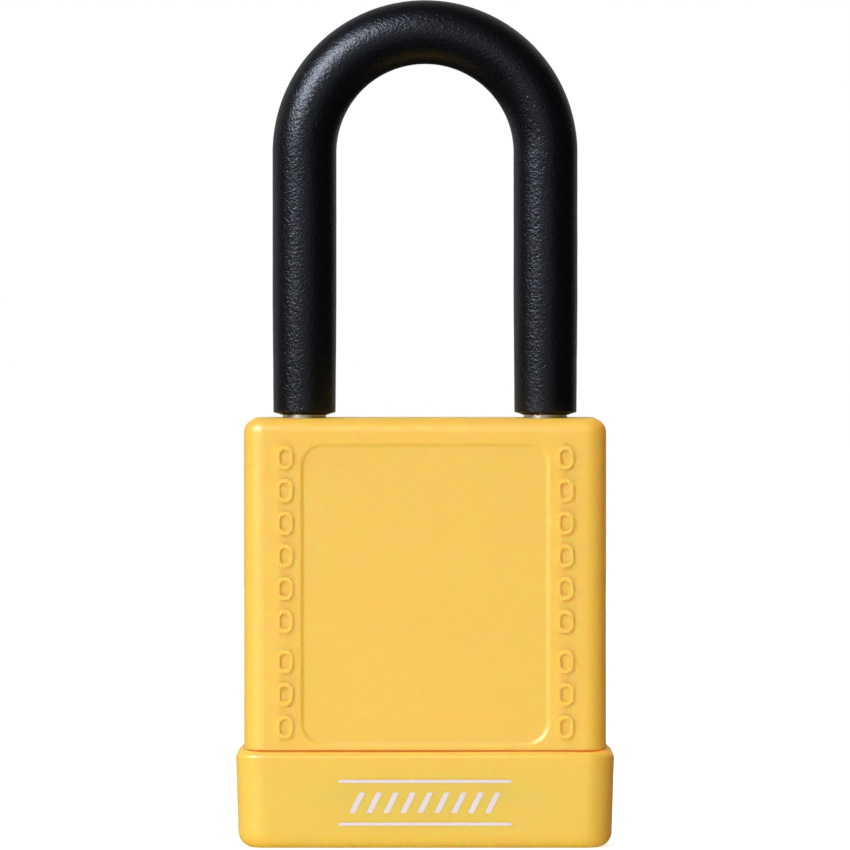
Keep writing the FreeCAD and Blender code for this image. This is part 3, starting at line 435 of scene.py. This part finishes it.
def add_coil(name, node, axis, side, wire, turns, materials):
    """A wound spring that fills the room of a CAD spring."""
    low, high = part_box(node)
    middle = (low + high) / 2
    length = (high - low).dot(axis)
    coil = (high.y - low.y) / 2 - wire
    start = middle - axis * length / 2
    points, rings = coil_points(start, axis, side, length, coil, wire, turns)
    faces = ring_faces(rings, WIRE_SIDES)
    faces.append(tuple(reversed(range(WIRE_SIDES))))
    faces.append(tuple((rings - 1) * WIRE_SIDES + index for index in range(WIRE_SIDES)))
    piece = add_piece(name, points, faces, materials, "spring_steel")
    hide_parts(node)
    return piece


def make_springs(materials):
    """Wound pin springs that ride with the padlock body, each with a mesh of its own, and a wound shackle
    spring fixed in place.
    """
    for number in range(1, 7):
        node = f"pin_spring_{number}"
        piece = add_coil(f"wound_{node}", node, RIGHT, BACK, 0.125 * MM, 8.5, materials)
        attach(piece, "padlock_body")
        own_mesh(piece)
    piece = add_coil("wound_shackle_spring", "shackle_spring", UP, RIGHT, 0.25 * MM, 11.5, materials)
    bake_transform(piece)


# ---------------------------------------------------------------- light, floor and camera

def aim(thing, target):
    """Turn a lamp or camera to look at a point."""
    thing.rotation_euler = (target - thing.location).to_track_quat("-Z", "Y").to_euler()


def add_softbox(name, azimuth, elevation, distance, width, height, watts, tint=(1, 1, 1), lights="both"):
    """A rectangular lamp aimed at the middle of the padlock, for the matt light, the glints or both."""
    lamp = bpy.data.lights.new(name, "AREA")
    lamp.shape = "RECTANGLE"
    lamp.size, lamp.size_y = width, height
    lamp.energy, lamp.color = watts, tint
    box = bpy.data.objects.new(name, lamp)
    bpy.context.scene.collection.objects.link(box)
    box.visible_diffuse = lights != "glints"
    box.visible_glossy = lights != "matt"
    turn, rise = math.radians(azimuth), math.radians(elevation)
    target = (cad_box[0] + cad_box[1]) / 2
    toward = Vector((math.sin(turn) * math.cos(rise), -math.cos(turn) * math.cos(rise), math.sin(rise)))
    box.location = target + toward * distance
    aim(box, target)


def make_lights():
    """Broad matt light from the upper left front, and separate boxes that give the glints."""
    add_softbox("key_softbox", -18, 32, 0.9, 1.0, 0.8, 7.8, lights="matt")
    add_softbox("left_softbox", -85, 12, 0.8, 0.5, 0.9, 2.7, lights="matt")
    add_softbox("top_softbox", -20, 80, 0.8, 0.7, 0.7, 3.7, lights="matt")
    add_softbox("bounce_card", -20, -52, 0.36, 0.6, 0.35, 1.58, lights="matt")
    add_softbox("warm_card", 88, 8, 0.8, 0.5, 0.8, 1.3, (1.0, 0.18, 0.1), lights="matt")
    add_softbox("glint_softbox", -42, 31, 0.9, 0.45, 0.45, 16, lights="glints")
    add_softbox("high_back_card", 180, 48, 1.0, 2.0, 0.8, 1.3, lights="glints")
    add_softbox("front_sheet", 0, 6, 1.4, 1.1, 1.0, 1.7, lights="glints")
    add_softbox("left_edge_card", -118, 4, 0.9, 0.5, 0.9, 0.5, lights="glints")
    add_softbox("back_softbox", 180, 8, 0.9, 0.9, 0.8, 8.0, lights="matt")
    add_softbox("back_card", 180, 10, 1.0, 2.4, 0.9, 2.2)


def make_surroundings():
    """A pale floor with a painted glow that is dimmer near the padlock, a white backdrop that only the
    camera sees, and a dim even sky.
    """
    world = bpy.data.worlds.new("studio")
    world.use_nodes = True
    sky = world.node_tree.nodes["Background"]
    sky.inputs["Color"].default_value = (1, 1, 1, 1)
    sky.inputs["Strength"].default_value = 0.03
    bpy.context.scene.world = world

    floor_material = new_material("pale_floor", Base_Color=(0.55, 0.55, 0.55, 1), Roughness=0.9)
    floor_material.node_tree.nodes["Principled BSDF"].inputs["Emission Color"].default_value = (1, 1, 1, 1)
    # Painted light on the floor: its own glow rises from 0.72 near the padlock to full white from 0.4 m
    # out, so the floor is darker round the padlock and meets the backdrop far away.
    distance = add_node(
        floor_material, "ShaderNodeVectorMath", {0: place_of(floor_material)}, operation="LENGTH")
    glow = spread(floor_material, distance.outputs["Value"], 0.72, 1.0, 0.05, 0.4)
    drive(floor_material, Emission_Strength=glow)
    bpy.ops.mesh.primitive_circle_add(vertices=128, radius=3, fill_type="NGON", location=(0, 0, -0.00005))
    floor = bpy.context.object
    floor.name = "floor"
    floor.data.materials.append(floor_material)
    floor.visible_glossy = False
    floor.visible_diffuse = False
    floor.visible_shadow = False

    white = bpy.data.materials.new("backdrop_white")
    white.use_nodes = True
    white.node_tree.nodes.clear()
    glow = add_node(white, "ShaderNodeEmission", {"Color": (1, 1, 1, 1), "Strength": 1.0})
    add_node(white, "ShaderNodeOutputMaterial", {"Surface": glow.outputs["Emission"]})
    bpy.ops.mesh.primitive_uv_sphere_add(segments=64, ring_count=32, radius=3.0)
    backdrop = bpy.context.object
    backdrop.name = "backdrop"
    backdrop.data.materials.append(white)
    backdrop.visible_diffuse = False
    backdrop.visible_glossy = False
    backdrop.visible_transmission = False
    backdrop.visible_shadow = False


def make_camera():
    """A long lens a metre in front, a little above the top of the cover."""
    scene = bpy.context.scene
    lens = bpy.data.cameras.new("camera")
    camera = bpy.data.objects.new("camera", lens)
    scene.collection.objects.link(camera)
    scene.camera = camera
    front, distance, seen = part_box("body_cover")[0].y, 1.0, 90.8 * MM
    eye_height, target_height = 58 * MM, 45.3 * MM
    camera.location = (0, front - distance, eye_height)
    aim(camera, Vector((0, front, target_height)))
    lens.sensor_width = 36
    lens.lens = lens.sensor_width * distance / seen
    lens.clip_start, lens.clip_end = 0.05, 20
    scene.view_settings.view_transform = "Standard"


materials = make_materials()
paint_nodes(materials)
make_sleeve(materials)
make_print(materials)
make_springs(materials)
make_lights()
make_surroundings()
make_camera()
